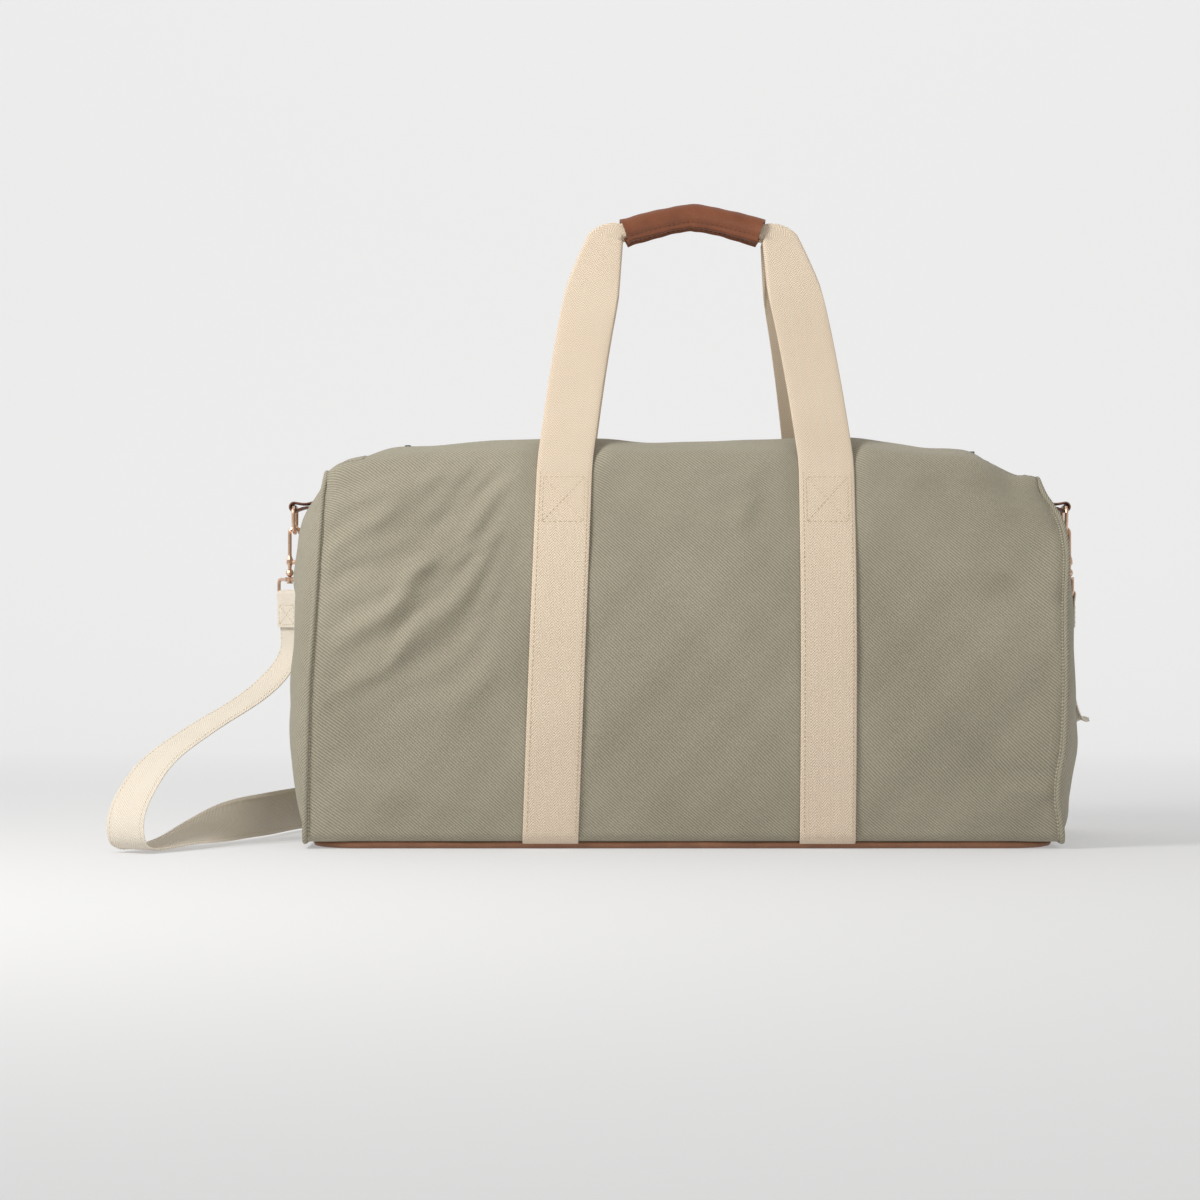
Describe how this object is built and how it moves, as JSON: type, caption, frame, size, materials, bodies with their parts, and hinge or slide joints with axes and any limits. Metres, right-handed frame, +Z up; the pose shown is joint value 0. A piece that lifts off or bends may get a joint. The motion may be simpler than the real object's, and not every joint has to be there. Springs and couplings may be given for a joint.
{
  "type": "duffel bag",
  "caption": "Canvas weekender duffel bag with a zipped top, two webbing handles with leather grips, a leather base and a detachable webbing shoulder strap on swivel snap hooks.",
  "frame": {"origin": "on the ground, under the middle of the bag", "axes": "+X along the bag's length, -Y the front, +Z up"},
  "size_m": [0.7239, 0.3751, 0.4769],
  "materials": {
    "canvas": "sage green cotton twill",
    "lining_cloth": "plain woven cotton",
    "webbing": "cream herringbone cotton webbing",
    "strap_webbing": "off-white cotton webbing",
    "tan_leather": "smooth tan leather",
    "dark_leather": "dark brown leather",
    "brass": "polished pale rose brass",
    "zip_tape": "dark slate woven tape",
    "gunmetal": "dark gunmetal plating",
    "board": "stiff sheet"
  },
  "bodies": {
    "bag": {"base_panel": "dark_leather", "base_board": "board", "lining": "lining_cloth", "front_panel": "canvas", "front_left_strap": "webbing", "front_right_strap": "webbing", "rear_panel": "canvas", "rear_left_strap": "webbing", "rear_right_strap": "webbing", "left_end_panel": "canvas", "left_end_piping": "canvas", "left_top_gusset": "canvas", "left_ring_tab": "dark_leather", "right_end_panel": "canvas", "right_end_piping": "canvas", "right_top_gusset": "canvas", "right_ring_tab": "dark_leather", "shoulder_strap": "strap_webbing", "strap_adjuster": "brass"},
    "front_handle": {"front_handle_webbing": "webbing", "front_grip": "tan_leather"},
    "rear_handle": {"rear_handle_webbing": "webbing", "rear_grip": "tan_leather"},
    "front_mouth": {"front_top_panel": "canvas", "front_zip_tape": "zip_tape", "front_zip_teeth": "gunmetal", "front_left_zip_stop": "gunmetal", "front_right_zip_stop": "gunmetal"},
    "rear_mouth": {"rear_top_panel": "canvas", "rear_zip_tape": "zip_tape", "rear_zip_teeth": "gunmetal", "rear_left_zip_stop": "gunmetal", "rear_right_zip_stop": "gunmetal"},
    "zip_slider": {"zip_slider": "gunmetal"},
    "zip_pull": {"zip_pull": "gunmetal"},
    "left_ring": {"left_d_ring": "brass"},
    "left_hook": {"left_snap_hook": "brass"},
    "left_gate": {"left_hook_gate": "brass"},
    "left_loop": {"left_strap_loop": "brass", "left_strap_end": "strap_webbing"},
    "right_ring": {"right_d_ring": "brass"},
    "right_hook": {"right_snap_hook": "brass"},
    "right_gate": {"right_hook_gate": "brass"},
    "right_loop": {"right_strap_loop": "brass", "right_strap_end": "strap_webbing"}
  },
  "joints": [
    {"name": "front_handle_swing", "type": "hinge", "parent": "bag", "child": "front_handle", "pos_m": [0.0095, -0.10081, 0.28004], "axis": [1, 0, 0], "range_deg": [0, 110]},
    {"name": "rear_handle_swing", "type": "hinge", "parent": "bag", "child": "rear_handle", "pos_m": [0.0095, 0.10081, 0.28004], "axis": [-1, 0, 0], "range_deg": [0, 110]},
    {"name": "front_mouth_fold", "type": "hinge", "parent": "bag", "child": "front_mouth", "pos_m": [0, -0.0945, 0.2835], "axis": [1, 0, 0], "range_deg": [0, 45]},
    {"name": "rear_mouth_fold", "type": "hinge", "parent": "bag", "child": "rear_mouth", "pos_m": [0, 0.0945, 0.2835], "axis": [-1, 0, 0], "range_deg": [0, 45]},
    {"name": "zip_run", "type": "slide", "parent": "front_mouth", "child": "zip_slider", "axis": [1, 0, 0], "range_m": [0, 0.415]},
    {"name": "zip_pull_lift", "type": "hinge", "parent": "zip_slider", "child": "zip_pull", "pos_m": [-0.205, 0, 0.29445], "axis": [0, -1, 0], "range_deg": [0, 150]},
    {"name": "left_ring_swing", "type": "hinge", "parent": "bag", "child": "left_ring", "pos_m": [-0.29, 0, 0.2495], "axis": [0, 1, 0], "range_deg": [0, 75], "deforming": ["shoulder_strap"]},
    {"name": "left_hook_swing", "type": "hinge", "parent": "left_ring", "child": "left_hook", "pos_m": [-0.29, 0, 0.23], "axis": [0, 1, 0], "range_deg": [0, 60], "deforming": ["shoulder_strap"]},
    {"name": "left_gate_press", "type": "hinge", "parent": "left_hook", "child": "left_gate", "pos_m": [-0.2861, 0, 0.21058], "axis": [0, -1, 0], "range_deg": [0, 14], "stiffness_Nm_per_rad": 0.002, "springref_deg": -8.59},
    {"name": "left_loop_swivel", "type": "hinge", "parent": "left_hook", "child": "left_loop", "pos_m": [-0.2939, 0, 0.195], "axis": [0, 0, 1], "range_deg": [-64, 0], "deforming": ["shoulder_strap"]},
    {"name": "right_ring_swing", "type": "hinge", "parent": "bag", "child": "right_ring", "pos_m": [0.29, 0, 0.2495], "axis": [0, -1, 0], "range_deg": [0, 75], "deforming": ["shoulder_strap"]},
    {"name": "right_hook_swing", "type": "hinge", "parent": "right_ring", "child": "right_hook", "pos_m": [0.29, 0, 0.23], "axis": [0, -1, 0], "range_deg": [0, 60], "deforming": ["shoulder_strap"]},
    {"name": "right_gate_press", "type": "hinge", "parent": "right_hook", "child": "right_gate", "pos_m": [0.2861, 0, 0.21058], "axis": [0, 1, 0], "range_deg": [0, 14], "stiffness_Nm_per_rad": 0.002, "springref_deg": -8.59},
    {"name": "right_loop_swivel", "type": "hinge", "parent": "right_hook", "child": "right_loop", "pos_m": [0.2939, 0, 0.195], "axis": [0, 0, 1], "range_deg": [-25, 25], "deforming": ["shoulder_strap"]}
  ],
  "couplings": [
    {"joint": "front_mouth_fold", "follows": "zip_run", "rad_per_m": 1.89},
    {"joint": "rear_mouth_fold", "follows": "zip_run", "rad_per_m": 1.89}
  ]
}
